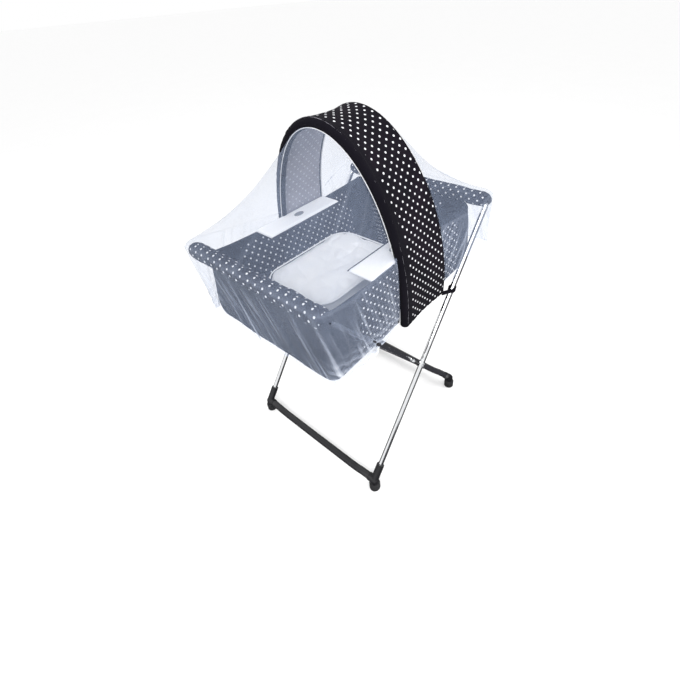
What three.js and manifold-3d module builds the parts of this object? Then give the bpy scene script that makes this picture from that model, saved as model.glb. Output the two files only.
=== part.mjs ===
// A folding bassinet on an X stand, in millimetres, +Z up, standing on the floor at z = 0.
// X runs from the front rail to the back rail, and +Y is the left side.
// Two tube frames cross at a pivot and carry a fabric basket between their top rails. A hood of two
// hoops, a fabric band and two nets lifts off, and a pad and two side flaps lie in the basket.
import * as THREE from "three";
import { mergeVertices } from "three/addons/utils/BufferGeometryUtils.js";
import Module from "manifold-3d";

const wasm = await Module();
wasm.setup();

// Driving dimensions
const GAP = 0.3; // clearance where two pieces touch
const RAIL_X = 330; // top rails, from the middle
const RAIL_Z = 780;
const FOOT_X = 255; // foot bars, from the middle
const FOOT_Z = 45;
const OUTER_Y = 259; // legs of the outer frame, from the middle
const INNER_Y = 239; // legs of the inner frame
const TUBE_R = 8;
const TUBE_WALL = 1.2;
const BEND_R = 16; // bend from a leg into its rail
const ELBOW_R = 12.5; // moulded elbow round the foot of a leg
const ELBOW_REACH = 57; // how far the elbow runs up the leg
const ELBOW_NECK = 10; // how far the elbow runs along the foot bar, past its own radius
const ELBOW_SWELL = 1; // the elbow is this much fatter round the bar than round the leg
const BAR_R = 12;
const BAR_DROP = 8; // the foot bar dips below its two ends
const BAR_BENDS = [15, 55, 100]; // from each end: where the bar leaves the level, is nearly down, is down
const FOOT_R = 18;
const FOOT_HEIGHT = 30;
const FOOT_RIBS = 4;
const RIB_DEPTH = 2;
const BOLT_R = 3;
const BOLT_PLAY = 0.09;
const BOLT_TAIL = 6; // how far the shank runs past the inner tube
const HEAD_R = 8;
const HEAD_THICKNESS = 4;
const SLEEVE_R = 22; // padded sleeve round each top rail
const SLEEVE_ROUND = 8;

const BASKET_X = 318; // outer faces of the basket's skirt
const BASKET_Y = 216;
const BASKET_TOP = 754;
const BASKET_BOTTOM = 550;
const SKIRT = 3;
const LINING = 7;
const LINING_INSET = 60; // how far the lining slopes in on its way down
const LINING_SEAM = 1.5; // room between skirt and lining along their top
const LINING_TOP = 752;
const LINING_BOTTOM = 590;
const PAD = { length: 342, width: 248, thickness: 84, corner: 55, x: -61, y: 12 };
const BOARD_THICKNESS = 4;

const HOOD_FRONT = -50; // edges of the hood's band along X
const HOOD_BACK = 135;
const HOOD_HALF = 243; // half width of the band where it is widest
const HOOD_SPRING = 600; // height at which the band's sides start to curve in
const HOOD_RISE = 470;
const HOOD_BOTTOM = 555;
const LEAN_FRONT = -25; // how far the top of the band's front edge leans along X
const LEAN_BACK = -63; // and of its back edge
const BAND = 4;
const HOOP_R = 2.5;
const HOOP_PLAY = 1.5; // the band is sewn a little slack round its hoops
const HOOP_EDGE = 8; // from an edge of the band to the middle of its hoop
const STRAP = { length: 36, thickness: 3, height: 14 };

const NET = 1.5;
const NET_FRONT = { start: -51, end: -358, half: 263, spread: 55, hem: 555 };
const NET_BACK = { start: 136, end: 358, half: 272, spread: 40, hem: 630 };
const NET_RIM = 9; // how far the nets pass above the sleeves
const NET_STRAIGHT = 0.06; // share of a net's section taken by each straight side

const FLAP = { length: 280, width: 76, thickness: 10, corner: 5, x: -20, edge: 214, lift: 0.5 };
const BADGE = { long: 17, short: 10, thickness: 2 };

const CHROME = { color: 0xc9ccd0, metalness: 1, roughness: 0.16 };
const BLACK_PLASTIC = { color: 0x111214, metalness: 0, roughness: 0.42 };
const RUBBER = { color: 0x0d0d0e, metalness: 0, roughness: 0.85 };
const STEEL = { color: 0x9a9da1, metalness: 1, roughness: 0.35 };
const DOTTED_FABRIC = { color: 0x16151c, metalness: 0, roughness: 0.92 };
const WHITE_FABRIC = { color: 0xf2f3f6, metalness: 0, roughness: 0.9 };
const NET_FABRIC = { color: 0xf7f7f7, metalness: 0, roughness: 0.95 };
const BOARD = { color: 0x8a6f52, metalness: 0, roughness: 0.8 };
const BADGE_METAL = { color: 0x8d9092, metalness: 0.6, roughness: 0.4 };

const SIDES = [
  { name: "left", y: 1 },
  { name: "right", y: -1 },
];

const bassinet = new THREE.Group();

function place(name, geometry, look) {
  const mesh = new THREE.Mesh(geometry, new THREE.MeshStandardMaterial(look));
  mesh.name = name;
  bassinet.add(mesh);
}

// Joins and cuts

function solidOf(geometry) {
  const bare = geometry.clone();
  bare.deleteAttribute("normal");
  bare.deleteAttribute("uv");
  const merged = mergeVertices(bare, 1e-3);
  const vertProperties = new Float32Array(merged.attributes.position.array);
  const triVerts = new Uint32Array(merged.index.array);
  return new wasm.Manifold(new wasm.Mesh({ numProp: 3, vertProperties, triVerts }));
}

function geometryOf(solid) {
  const mesh = solid.getMesh();
  const geometry = new THREE.BufferGeometry();
  geometry.setAttribute("position", new THREE.BufferAttribute(mesh.vertProperties, 3));
  geometry.setIndex(new THREE.BufferAttribute(mesh.triVerts, 1));
  geometry.computeVertexNormals();
  return geometry;
}

function joined(...geometries) {
  const solids = geometries.map(solidOf);
  return geometryOf(solids.reduce((whole, solid) => whole.add(solid)));
}

function cut(geometry, tool) {
  return geometryOf(solidOf(geometry).subtract(solidOf(tool)));
}

// Shapes

function turned(points, segments = 20) {
  const profile = points.map(([radius, height]) => new THREE.Vector2(radius, height));
  return new THREE.LatheGeometry(profile, segments);
}

// A solid of revolution runs along Y; this turns it to lie along the given direction from a point.
function along(geometry, from, direction) {
  const up = new THREE.Vector3(0, 1, 0);
  const turn = new THREE.Quaternion().setFromUnitVectors(up, direction.clone().normalize());
  return geometry.applyQuaternion(turn).translate(from.x, from.y, from.z);
}

function pipe(from, to, outer, inner) {
  const length = from.distanceTo(to);
  const ring = [[inner, 0], [outer, 0], [outer, length], [inner, length], [inner, 0]];
  return along(turned(ring, 16), from, to.clone().sub(from));
}

function rod(from, to, radius) {
  const length = from.distanceTo(to);
  const profile = [[0, 0], [radius, 0], [radius, length], [0, length]];
  return along(turned(profile, 16), from, to.clone().sub(from));
}

function ball(center, radius) {
  return new THREE.SphereGeometry(radius, 12, 8).translate(center.x, center.y, center.z);
}

function sweep(curve, radius, steps, sides = 10) {
  const section = new THREE.Shape();
  section.absarc(0, 0, radius, 0, 2 * Math.PI);
  return new THREE.ExtrudeGeometry(section, { steps, extrudePath: curve, curveSegments: sides / 2 });
}

class CornerArc extends THREE.Curve {
  constructor(center, first, second) {
    super();
    this.center = center;
    this.first = first;
    this.second = second;
  }

  getPoint(t, target = new THREE.Vector3()) {
    const angle = (t * Math.PI) / 2;
    target.copy(this.center);
    target.addScaledVector(this.first, Math.cos(angle));
    return target.addScaledVector(this.second, Math.sin(angle));
  }
}

// A closed solid between two rings of the same number of corners, both counter-clockwise from above.
function between(bottom, top) {
  const count = bottom.length;
  const index = [];
  for (let i = 1; i < count - 1; i++) {
    index.push(0, i + 1, i);
    index.push(count, count + i, count + i + 1);
  }
  for (let i = 0; i < count; i++) {
    const next = (i + 1) % count;
    index.push(i, next, count + next);
    index.push(i, count + next, count + i);
  }
  return indexed([...bottom, ...top], index);
}

function indexed(points, index) {
  const geometry = new THREE.BufferGeometry();
  geometry.setAttribute("position", new THREE.Float32BufferAttribute(points.flat(), 3));
  geometry.setIndex(index);
  geometry.computeVertexNormals();
  return geometry;
}

// A sheet with a thickness: two layers of points over a grid, joined round their edge.
function sheet(outer, inner, across, down) {
  const points = [];
  const index = [];
  for (const layer of [outer, inner]) {
    for (let j = 0; j <= down; j++) {
      for (let i = 0; i <= across; i++) points.push(layer(i / across, j / down));
    }
  }
  const row = across + 1;
  const layerSize = row * (down + 1);
  const quad = (a, b, c, d) => index.push(a, b, c, a, c, d);
  for (let j = 0; j < down; j++) {
    for (let i = 0; i < across; i++) {
      const a = j * row + i;
      quad(a, a + 1, a + 1 + row, a + row);
      quad(a + layerSize, a + row + layerSize, a + 1 + row + layerSize, a + 1 + layerSize);
    }
  }
  for (let i = 0; i < across; i++) {
    const last = down * row + i;
    quad(i, i + layerSize, i + 1 + layerSize, i + 1);
    quad(last, last + 1, last + 1 + layerSize, last + layerSize);
  }
  for (let j = 0; j < down; j++) {
    const a = j * row;
    const b = a + across;
    quad(a, a + row, a + row + layerSize, a + layerSize);
    quad(b, b + layerSize, b + row + layerSize, b + row);
  }
  return indexed(points, index);
}

function roundedBlock(length, width, thickness, corner) {
  const x = length / 2;
  const y = width / 2;
  const outline = new THREE.Shape();
  outline.absarc(x - corner, y - corner, corner, 0, Math.PI / 2);
  outline.absarc(corner - x, y - corner, corner, Math.PI / 2, Math.PI);
  outline.absarc(corner - x, corner - y, corner, Math.PI, 1.5 * Math.PI);
  outline.absarc(x - corner, corner - y, corner, 1.5 * Math.PI, 2 * Math.PI);
  return new THREE.ExtrudeGeometry(outline, { depth: thickness, bevelEnabled: false, curveSegments: 6 });
}

// The stand. Each frame is a U of tube on two moulded elbows, a foot bar and two rubber feet. The outer
// frame's rail is at the back (+X) and its feet at the front; the inner frame is turned the other way.

const LEG = new THREE.Vector3(RAIL_X + FOOT_X, 0, RAIL_Z - FOOT_Z);
const PIVOT_Z = FOOT_Z + (LEG.z * FOOT_X) / LEG.x;

function leg(footX, railX, y) {
  const foot = new THREE.Vector3(footX, y, FOOT_Z);
  const rail = new THREE.Vector3(railX, y, RAIL_Z);
  const up = rail.clone().sub(foot).normalize();
  const from = foot.clone().addScaledVector(up, ELBOW_REACH + GAP);
  const to = rail.clone().addScaledVector(up, -BEND_R - GAP);
  const pivot = new THREE.Vector3(0, y, PIVOT_Z);
  const reach = new THREE.Vector3(0, 2 * TUBE_R, 0);
  const hole = rod(pivot.clone().sub(reach), pivot.clone().add(reach), BOLT_R + BOLT_PLAY);
  return cut(pipe(from, to, TUBE_R, TUBE_R - TUBE_WALL), hole);
}

function cornerBend(footX, railX, y) {
  const up = new THREE.Vector3(railX - footX, 0, RAIL_Z - FOOT_Z).normalize();
  const inward = new THREE.Vector3(0, -Math.sign(y), 0);
  const center = new THREE.Vector3(railX, y, RAIL_Z);
  center.addScaledVector(up, -BEND_R).addScaledVector(inward, BEND_R);
  const first = inward.clone().multiplyScalar(-BEND_R);
  return sweep(new CornerArc(center, first, up.clone().multiplyScalar(BEND_R)), TUBE_R, 6);
}

function rail(railX, legY) {
  const half = legY - BEND_R - GAP;
  const from = new THREE.Vector3(railX, -half, RAIL_Z);
  return pipe(from, new THREE.Vector3(railX, half, RAIL_Z), TUBE_R, TUBE_R - TUBE_WALL);
}

function railSleeve(railX, legY) {
  const half = legY - BEND_R - 5 * GAP;
  const bore = TUBE_R + GAP;
  const profile = [
    [bore, -half],
    [SLEEVE_R - SLEEVE_ROUND, -half],
    [SLEEVE_R, SLEEVE_ROUND - half],
    [SLEEVE_R, half - SLEEVE_ROUND],
    [SLEEVE_R - SLEEVE_ROUND, half],
    [bore, half],
    [bore, -half],
  ];
  return turned(profile).translate(railX, 0, RAIL_Z);
}

function footBar(footX, legY) {
  const end = legY - ELBOW_R - ELBOW_NECK - 1;
  const [level, low, lowest] = BAR_BENDS;
  const heights = [
    [end, FOOT_Z],
    [end - level, FOOT_Z],
    [end - low, FOOT_Z - BAR_DROP + 1],
    [end - lowest, FOOT_Z - BAR_DROP],
  ];
  const points = [...heights, ...heights.map(([y, z]) => [-y, z]).reverse()];
  const route = new THREE.CatmullRomCurve3(points.map(([y, z]) => new THREE.Vector3(footX, y, z)));
  return sweep(route, BAR_R, 18, 12);
}

function footElbow(footX, railX, y) {
  const corner = new THREE.Vector3(footX, y, FOOT_Z);
  const up = new THREE.Vector3(railX - footX, 0, RAIL_Z - FOOT_Z).normalize();
  const inward = new THREE.Vector3(0, -Math.sign(y), 0);
  const socketTop = corner.clone().addScaledVector(up, ELBOW_REACH);
  const barEnd = corner.clone().addScaledVector(inward, ELBOW_R + ELBOW_NECK);
  const neck = new THREE.Vector3(footX, y, FOOT_HEIGHT + GAP);
  return joined(
    ball(corner, ELBOW_R + ELBOW_SWELL),
    rod(corner, socketTop, ELBOW_R),
    rod(corner, barEnd, ELBOW_R + ELBOW_SWELL),
    rod(neck, corner, ELBOW_R),
  );
}

function rubberFoot(footX, y) {
  const waist = FOOT_R - RIB_DEPTH;
  const profile = [[0, 0], [waist, 0], [FOOT_R, RIB_DEPTH]];
  const pitch = (FOOT_HEIGHT - 2 * RIB_DEPTH) / FOOT_RIBS;
  for (let i = 0; i < FOOT_RIBS; i++) {
    const low = RIB_DEPTH + i * pitch;
    profile.push([FOOT_R, low + pitch * 0.6], [waist, low + pitch * 0.75], [waist, low + pitch]);
  }
  profile.push([waist - RIB_DEPTH, FOOT_HEIGHT], [0, FOOT_HEIGHT]);
  return turned(profile).rotateX(Math.PI / 2).translate(footX, y, 0);
}

function buildFrame(frame, footX, railX, legY, barName, railName) {
  for (const { name, y } of SIDES) {
    place(`${frame}_leg_${name}`, leg(footX, railX, y * legY), CHROME);
    place(`${frame}_corner_${name}`, cornerBend(footX, railX, y * legY), CHROME);
    place(`${frame}_foot_elbow_${name}`, footElbow(footX, railX, y * legY), BLACK_PLASTIC);
    place(`${frame}_rubber_foot_${name}`, rubberFoot(footX, y * legY), RUBBER);
  }
  place(barName, footBar(footX, legY), BLACK_PLASTIC);
  place(railName, rail(railX, legY), CHROME);
  place(`${railName}_sleeve`, railSleeve(railX, legY), DOTTED_FABRIC);
}

function buildPivots() {
  const headFrom = OUTER_Y + TUBE_R + GAP;
  const nutTo = INNER_Y - TUBE_R - GAP;
  const washerFrom = INNER_Y + TUBE_R + GAP;
  const washerTo = OUTER_Y - TUBE_R - GAP;
  const shankEnd = nutTo - BOLT_TAIL;
  for (const { name, y } of SIDES) {
    const at = (distance) => new THREE.Vector3(0, y * distance, PIVOT_Z);
    const shank = rod(at(shankEnd), at(headFrom + 1), BOLT_R);
    const head = rod(at(headFrom), at(headFrom + HEAD_THICKNESS), HEAD_R);
    const washer = pipe(at(washerFrom), at(washerTo), HEAD_R + 1, BOLT_R + GAP);
    const nut = pipe(at(shankEnd - 1), at(nutTo), HEAD_R - 1, BOLT_R + GAP);
    place(`pivot_bolt_${name}`, joined(shank, head), STEEL);
    place(`pivot_washer_${name}`, washer, BLACK_PLASTIC);
    place(`pivot_nut_${name}`, nut, STEEL);
  }
}

// The basket: an outer skirt, a lining that slopes in to a floor, a board and a pad.

// One wall on the +X side of a basket of the given half sizes. Insets count inwards from the skirt.
function wall(halfDepth, halfLength, top, bottom, zTop, zBottom) {
  const ring = ([outerInset, innerInset], z) => {
    const corner = (inset, sign) => [halfDepth - inset, sign * (halfLength - inset - GAP), z];
    return [corner(innerInset, -1), corner(outerInset, -1), corner(outerInset, 1), corner(innerInset, 1)];
  };
  return between(ring(bottom, zBottom), ring(top, zTop));
}

function buildBasket() {
  const walls = [
    { name: "back", turn: 0, depth: BASKET_X, length: BASKET_Y },
    { name: "left", turn: Math.PI / 2, depth: BASKET_Y, length: BASKET_X },
    { name: "front", turn: Math.PI, depth: BASKET_X, length: BASKET_Y },
    { name: "right", turn: -Math.PI / 2, depth: BASKET_Y, length: BASKET_X },
  ];
  const skirtInsets = [0, SKIRT];
  const topInsets = [SKIRT + LINING_SEAM, SKIRT + LINING_SEAM + LINING];
  const bottomInsets = [LINING_INSET, LINING_INSET + LINING];
  for (const { name, turn, depth, length } of walls) {
    const skirt = wall(depth, length, skirtInsets, skirtInsets, BASKET_TOP, BASKET_BOTTOM);
    const lining = wall(depth, length, topInsets, bottomInsets, LINING_TOP, LINING_BOTTOM);
    place(`skirt_${name}`, skirt.rotateZ(turn), DOTTED_FABRIC);
    place(`lining_${name}`, lining.rotateZ(turn), DOTTED_FABRIC);
  }
  const underside = block(2 * (BASKET_X - SKIRT - 1), 2 * (BASKET_Y - SKIRT - 1), SKIRT);
  place("basket_underside", underside.translate(0, 0, BASKET_BOTTOM), DOTTED_FABRIC);
  const floorX = 2 * (BASKET_X - LINING_INSET);
  const floorY = 2 * (BASKET_Y - LINING_INSET);
  const floor = block(floorX, floorY, SKIRT).translate(0, 0, LINING_BOTTOM - GAP - SKIRT);
  place("lining_floor", floor, DOTTED_FABRIC);
  const trim = 2 * (LINING + 2);
  const board = block(floorX - trim, floorY - trim, BOARD_THICKNESS);
  place("base_board", board.translate(0, 0, LINING_BOTTOM), BOARD);
}

function block(length, width, height) {
  return new THREE.BoxGeometry(length, width, height).translate(0, 0, height / 2);
}

function buildPad() {
  const pad = roundedBlock(PAD.length, PAD.width, PAD.thickness, PAD.corner);
  place("mattress_pad", pad.translate(PAD.x, PAD.y, LINING_BOTTOM + BOARD_THICKNESS + GAP), WHITE_FABRIC);
}

function buildFlaps() {
  const z = BASKET_TOP + FLAP.lift;
  for (const { name, y } of SIDES) {
    const middle = y * (FLAP.edge - FLAP.width / 2);
    const flap = roundedBlock(FLAP.length, FLAP.width, FLAP.thickness, FLAP.corner);
    place(`${name}_flap`, flap.translate(FLAP.x, middle, z), WHITE_FABRIC);
    const badge = new THREE.CylinderGeometry(1, 1, BADGE.thickness, 28).rotateX(Math.PI / 2);
    badge.scale(BADGE.long, BADGE.short, 1);
    const badgeZ = z + FLAP.thickness + GAP + BADGE.thickness / 2;
    place(`${name}_badge`, badge.translate(FLAP.x, middle, badgeZ), BADGE_METAL);
  }
}

// The hood: half an ellipse on straight sides, seen along X. It is drawn upright and then leant forward.

// How far a point of the hood moves along X: most at the top of its back edge, and not at all at the ends
// of its nets.
function leanAt(x, z) {
  const height = THREE.MathUtils.clamp((z - HOOD_SPRING) / HOOD_RISE, 0, 1);
  const front = LEAN_FRONT * height ** 2;
  const back = LEAN_BACK * height ** 1.4;
  if (x < HOOD_FRONT) return THREE.MathUtils.mapLinear(x, NET_FRONT.end, HOOD_FRONT, 0, front);
  if (x > HOOD_BACK) return THREE.MathUtils.mapLinear(x, HOOD_BACK, NET_BACK.end, back, 0);
  return THREE.MathUtils.mapLinear(x, HOOD_FRONT, HOOD_BACK, front, back);
}

function leant(geometry) {
  const position = geometry.attributes.position;
  for (let i = 0; i < position.count; i++) {
    const x = position.getX(i);
    position.setX(i, x + leanAt(x, position.getZ(i)));
  }
  geometry.computeVertexNormals();
  return geometry;
}

function hoodOutline(inset) {
  const outline = new THREE.Path();
  const half = HOOD_HALF - inset;
  const steps = 24;
  outline.moveTo(half, HOOD_BOTTOM);
  for (let i = 0; i <= steps; i++) {
    const angle = (Math.PI * i) / steps;
    outline.lineTo(half * Math.cos(angle), HOOD_SPRING + (HOOD_RISE - inset) * Math.sin(angle));
  }
  outline.lineTo(-half, HOOD_BOTTOM);
  return outline.getPoints();
}

function hoodBand() {
  const ring = [...hoodOutline(0), ...hoodOutline(BAND).reverse()];
  const depth = HOOD_BACK - HOOD_FRONT;
  const strip = new THREE.ExtrudeGeometry(new THREE.Shape(ring), { depth, bevelEnabled: false });
  // The outline's plane becomes YZ and its depth runs along X.
  const turn = new THREE.Matrix4().makeBasis(
    new THREE.Vector3(0, 1, 0),
    new THREE.Vector3(0, 0, 1),
    new THREE.Vector3(1, 0, 0),
  );
  return strip.applyMatrix4(turn).translate(HOOD_FRONT, 0, 0);
}

function hoop(x) {
  const inset = BAND + HOOP_PLAY + HOOP_R;
  const points = hoodOutline(inset).map((point) => new THREE.Vector3(x, point.x, point.y));
  return sweep(new THREE.CatmullRomCurve3(points), HOOP_R, 36, 6);
}

// A net's cross-section at x is a superellipse on straight sides, from the hood's half ellipse to a flat
// top over the rail.
function netSheet({ start, end, half: rimHalf, spread, hem }, rimTop) {
  const spring = Math.max(HOOD_SPRING, hem + 1);
  const section = (u, half, top, power) => {
    const side = u < 0.5 ? 1 : -1;
    const share = side > 0 ? u : 1 - u;
    if (share < NET_STRAIGHT) {
      return [side * half, THREE.MathUtils.lerp(hem, spring, share / NET_STRAIGHT)];
    }
    const angle = ((share - NET_STRAIGHT) / (0.5 - NET_STRAIGHT)) * (Math.PI / 2);
    return [side * half * Math.cos(angle) ** power, spring + (top - spring) * Math.sin(angle) ** power];
  };
  const layer = (inset) => (u, v) => {
    const x = THREE.MathUtils.lerp(start, end, v);
    const flare = THREE.MathUtils.smoothstep(Math.abs(x - start), 0, spread);
    const half = THREE.MathUtils.lerp(HOOD_HALF + NET, rimHalf, flare) - inset;
    const top = THREE.MathUtils.lerp(HOOD_SPRING + HOOD_RISE, rimTop, v) - inset;
    return [x, ...section(u, half, top, 2 / THREE.MathUtils.lerp(2, 12, v))];
  };
  const facing = end > start ? [layer(0), layer(NET)] : [layer(NET), layer(0)];
  return sheet(...facing, 24, 8);
}

function buildNet(name, net) {
  const rimTop = RAIL_Z + SLEEVE_R + NET_RIM;
  const tent = netSheet(net, rimTop);
  const drop = block(NET, 2 * net.half - 2 * NET, rimTop - net.hem - 2 * NET);
  drop.translate(net.end - (Math.sign(net.end) * NET) / 2, 0, net.hem);
  place(name, leant(joined(tent, drop)), NET_FABRIC);
}

function buildHood() {
  place("canopy_band", leant(hoodBand()), DOTTED_FABRIC);
  place("canopy_hoop_front", leant(hoop(HOOD_FRONT + HOOP_EDGE)), STEEL);
  place("canopy_hoop_back", leant(hoop(HOOD_BACK - HOOP_EDGE)), STEEL);
  buildNet("net_front", NET_FRONT);
  buildNet("net_back", NET_BACK);
  for (const { name, y } of SIDES) {
    const tab = block(STRAP.length, STRAP.thickness, STRAP.height);
    tab.translate(HOOD_BACK, y * (HOOD_HALF + GAP + STRAP.thickness / 2), HOOD_BOTTOM + 1);
    place(`leg_strap_${name}`, tab, BLACK_PLASTIC);
  }
}

buildFrame("outer", -FOOT_X, RAIL_X, OUTER_Y, "front_foot_bar", "back_rail");
buildFrame("inner", FOOT_X, -RAIL_X, INNER_Y, "back_foot_bar", "front_rail");
buildPivots();
buildBasket();
buildPad();
buildFlaps();
buildHood();

export default bassinet;
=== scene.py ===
"""A folding bassinet on a crossed-leg stand: black fabric with white polka dots, white pad and flaps, and an
arched hood whose two white nets cover the whole basket. Metres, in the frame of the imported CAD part."""
import math

import bpy
import numpy as np
from mathutils import Matrix, Vector, noise


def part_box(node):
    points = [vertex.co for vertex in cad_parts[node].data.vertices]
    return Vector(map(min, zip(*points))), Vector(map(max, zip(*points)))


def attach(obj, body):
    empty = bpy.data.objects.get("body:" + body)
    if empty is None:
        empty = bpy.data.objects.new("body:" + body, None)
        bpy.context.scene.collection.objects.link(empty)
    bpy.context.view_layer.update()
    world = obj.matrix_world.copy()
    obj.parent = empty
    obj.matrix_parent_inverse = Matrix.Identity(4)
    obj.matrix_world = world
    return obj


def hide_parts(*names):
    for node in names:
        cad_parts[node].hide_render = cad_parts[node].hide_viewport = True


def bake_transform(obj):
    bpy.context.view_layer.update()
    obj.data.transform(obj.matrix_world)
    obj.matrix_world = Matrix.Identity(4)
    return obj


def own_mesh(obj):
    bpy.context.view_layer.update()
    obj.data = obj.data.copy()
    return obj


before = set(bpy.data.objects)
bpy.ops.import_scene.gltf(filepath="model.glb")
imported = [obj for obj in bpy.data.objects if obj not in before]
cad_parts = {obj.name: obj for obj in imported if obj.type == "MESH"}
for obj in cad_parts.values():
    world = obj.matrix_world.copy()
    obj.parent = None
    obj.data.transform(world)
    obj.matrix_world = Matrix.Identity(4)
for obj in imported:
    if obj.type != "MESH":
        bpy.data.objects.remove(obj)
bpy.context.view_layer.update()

# Places and sizes, from the frame

FRONT, BACK = -1, 1
RIGHT, LEFT = -1, 1


def centre_of(node):
    low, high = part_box(node)
    return (low + high) / 2


RAIL = {FRONT: centre_of("front_rail"), BACK: centre_of("back_rail")}
RAIL_REACH = {FRONT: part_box("inner_leg_left")[1].y, BACK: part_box("outer_leg_left")[1].y}
SLEEVE_RADIUS = (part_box("front_rail_sleeve")[1].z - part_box("front_rail_sleeve")[0].z) / 2
BAND_LOW, BAND_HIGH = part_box("canopy_band")
SPRING = BAND_LOW.z + 0.045  # where the hood's straight feet end and its arch springs
SKIRT_LOW, SKIRT_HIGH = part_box("skirt_front")
SKIRT_X = -SKIRT_LOW.x
SKIRT_Y = SKIRT_HIGH.y
PAD_LOW, PAD_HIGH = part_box("mattress_pad")
FLOOR_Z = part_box("base_board")[1].z
PIVOT_Z = centre_of("pivot_bolt_left").z

DOT_PITCH = 0.0262
DOT_RADIUS = 0.0028
COTTON_THREAD = 0.0011
BRUSHED_THREAD = 0.0012
TULLE_MESH = 0.0016


# Shader graphs

class Graph:
    """A material's nodes, with short names for what the materials below repeat."""

    def __init__(self, name):
        self.material = bpy.data.materials.new(name)
        self.material.use_nodes = True
        self.tree = self.material.node_tree
        self.shader = self.tree.nodes["Principled BSDF"]

    def node(self, kind, inputs=None, **settings):
        made = self.tree.nodes.new(kind)
        for key, value in settings.items():
            setattr(made, key, value)
        for key, value in (inputs or {}).items():
            self.put(made.inputs[key], value)
        return made

    def put(self, socket, value):
        if isinstance(value, bpy.types.NodeSocket):
            self.tree.links.new(value, socket)
        else:
            socket.default_value = value

    def math(self, operation, a, b=0.0, clamp=False):
        return self.node("ShaderNodeMath", {0: a, 1: b}, operation=operation, use_clamp=clamp).outputs[0]

    def ramp(self, value, low, high, to_low=0.0, to_high=1.0):
        inputs = {"Value": value, "From Min": low, "From Max": high, "To Min": to_low, "To Max": to_high}
        return self.node("ShaderNodeMapRange", inputs).outputs["Result"]

    def noise(self, scale, detail=3.0, vector=None):
        inputs = {"Scale": scale, "Detail": detail}
        if vector is not None:
            inputs["Vector"] = vector
        else:
            inputs["Vector"] = self.node("ShaderNodeTexCoord").outputs["Object"]
        return self.node("ShaderNodeTexNoise", inputs).outputs["Fac"]

    def colour(self, factor, a, b):
        made = self.node("ShaderNodeMix", data_type="RGBA")
        self.put(made.inputs["Factor"], factor)
        self.put(made.inputs[6], (*a, 1) if isinstance(a, tuple) else a)
        self.put(made.inputs[7], (*b, 1) if isinstance(b, tuple) else b)
        return made.outputs[2]

    def bump(self, height, distance, strength=1.0):
        inputs = {"Height": height, "Distance": distance, "Strength": strength}
        self.put(self.shader.inputs["Normal"], self.node("ShaderNodeBump", inputs).outputs["Normal"])

    def set(self, **values):
        for key, value in values.items():
            self.put(self.shader.inputs[key.replace("_", " ")], value)


def fabric_uv(g):
    """The cloth's own coordinates in metres, along and across its threads."""
    uv = g.node("ShaderNodeUVMap", uv_map="cloth").outputs["UV"]
    parts = g.node("ShaderNodeSeparateXYZ", {0: uv})
    return uv, parts.outputs["X"], parts.outputs["Y"]


def weave(g, u, v, thread):
    """The height of a plain weave whose threads repeat at this width."""
    turns = 2 * math.pi / thread
    warp = g.math("SINE", g.math("MULTIPLY", u, turns))
    weft = g.math("SINE", g.math("MULTIPLY", v, turns))
    return g.math("MULTIPLY_ADD", g.math("MULTIPLY", warp, weft), 0.5)


def dot_mask(g, u, v, pitch=DOT_PITCH, radius=DOT_RADIUS):
    """1 inside the dots of two square lattices, the second shifted by half a pitch both ways."""
    nearest = []
    for shift in (0.0, 0.5):
        offsets = []
        for coordinate in (u, v):
            cell = g.math("FRACT", g.math("ADD", g.math("MULTIPLY", coordinate, 1 / pitch), shift))
            offsets.append(g.math("POWER", g.math("ABSOLUTE", g.math("SUBTRACT", cell, 0.5)), 2.0))
        nearest.append(g.math("SQRT", g.math("ADD", *offsets)))
    edge = radius / pitch
    distance = g.math("MINIMUM", *nearest)
    return g.ramp(distance, edge * 1.12, edge * 0.88)


def cotton(name, base, tint, dots, dot_colour=(0.86, 0.87, 0.9), sheen=0.01):
    """Woven cotton, with printed polka dots where dots is true."""
    g = Graph(name)
    uv, u, v = fabric_uv(g)
    patches = g.ramp(g.noise(9.0, 4.0), 0.35, 0.65)
    fuzz = g.noise(900.0, 2.0, uv)
    lint = tuple(min(1, c * 1.9 + 0.01) for c in base)
    cloth = g.colour(patches, base, tint)
    cloth = g.colour(g.ramp(fuzz, 0.45, 0.8, 0.0, 0.35), cloth, lint)
    if dots:
        mask = dot_mask(g, u, v)
        print_wear = g.ramp(g.noise(400.0, 2.0, uv), 0.2, 0.5, 0.82, 1.0)
        cloth = g.colour(g.math("MULTIPLY", mask, print_wear), cloth, dot_colour)
    g.set(Base_Color=cloth, Roughness=0.92, Sheen_Weight=sheen, Sheen_Roughness=0.45, Specular_IOR_Level=0.08)
    creases = g.ramp(g.noise(28.0, 5.0), 0.3, 0.7)
    height = g.math("MULTIPLY_ADD", creases, 1.6)
    g.tree.links.new(weave(g, u, v, COTTON_THREAD), height.node.inputs[2])
    g.bump(height, 0.0006, 0.7)
    return g.material


def white_cotton():
    """White brushed cotton with soft creases and a faint cool cast."""
    g = Graph("white_cotton")
    _, u, v = fabric_uv(g)
    shade = g.ramp(g.noise(14.0, 4.0), 0.3, 0.7)
    cloth = g.colour(shade, (0.94, 0.95, 0.97), (0.98, 0.98, 0.985))
    g.set(Base_Color=cloth, Roughness=0.88, Sheen_Weight=0.2, Sheen_Roughness=0.5, Specular_IOR_Level=0.3)
    height = g.math("MULTIPLY_ADD", g.ramp(g.noise(22.0, 5.0), 0.3, 0.7), 1.8)
    g.tree.links.new(weave(g, u, v, BRUSHED_THREAD), height.node.inputs[2])
    g.bump(height, 0.0007, 0.6)
    return g.material


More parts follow.
